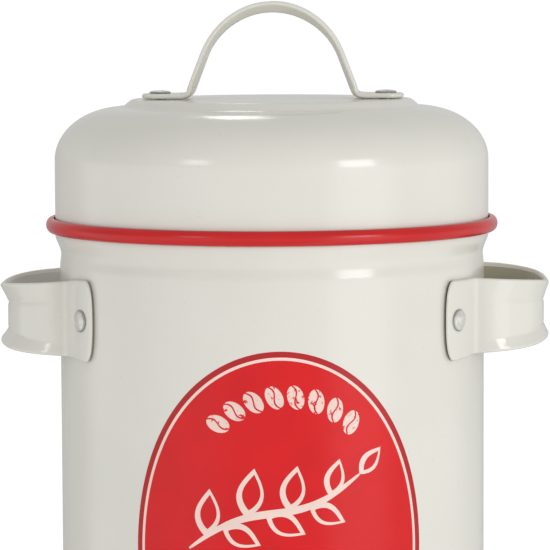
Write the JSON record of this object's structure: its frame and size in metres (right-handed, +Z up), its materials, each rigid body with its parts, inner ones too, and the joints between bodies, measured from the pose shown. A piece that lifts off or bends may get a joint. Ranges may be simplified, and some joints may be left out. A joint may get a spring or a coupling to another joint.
{
  "type": "coffee tin",
  "caption": "Tall round enamelled tin with a domed lift-off lid, rolled red rim, riveted strap handles and an oval print.",
  "frame": {"origin": "middle of the base, on the surface that the tin stands on", "axes": "+Z up along the tin's axis, -Y towards the front with the print, +X and -X towards the two side handles"},
  "size_m": [0.1504, 0.1224, 0.2204],
  "materials": {
    "cream_enamel": "gloss",
    "red_enamel": "gloss",
    "red_print": "satin",
    "cream_print": "satin",
    "rivet_metal": "satin"
  },
  "bodies": {
    "body": {"body_wall": "cream_enamel", "base_panel": "cream_enamel", "handle_right": "cream_enamel", "handle_left": "cream_enamel", "rivet_right_front": "rivet_metal", "rivet_right_back": "rivet_metal", "rivet_left_back": "rivet_metal", "rivet_left_front": "rivet_metal"},
    "lid": {"lid_shell": "cream_enamel", "lid_handle": "cream_enamel", "lid_rivet_right": "rivet_metal", "lid_rivet_left": "rivet_metal"}
  },
  "joints": [
    {"name": "lid_lift", "type": "slide", "parent": "body", "child": "lid", "axis": [0, 0, 1], "range_m": [0, 0.1]}
  ]
}
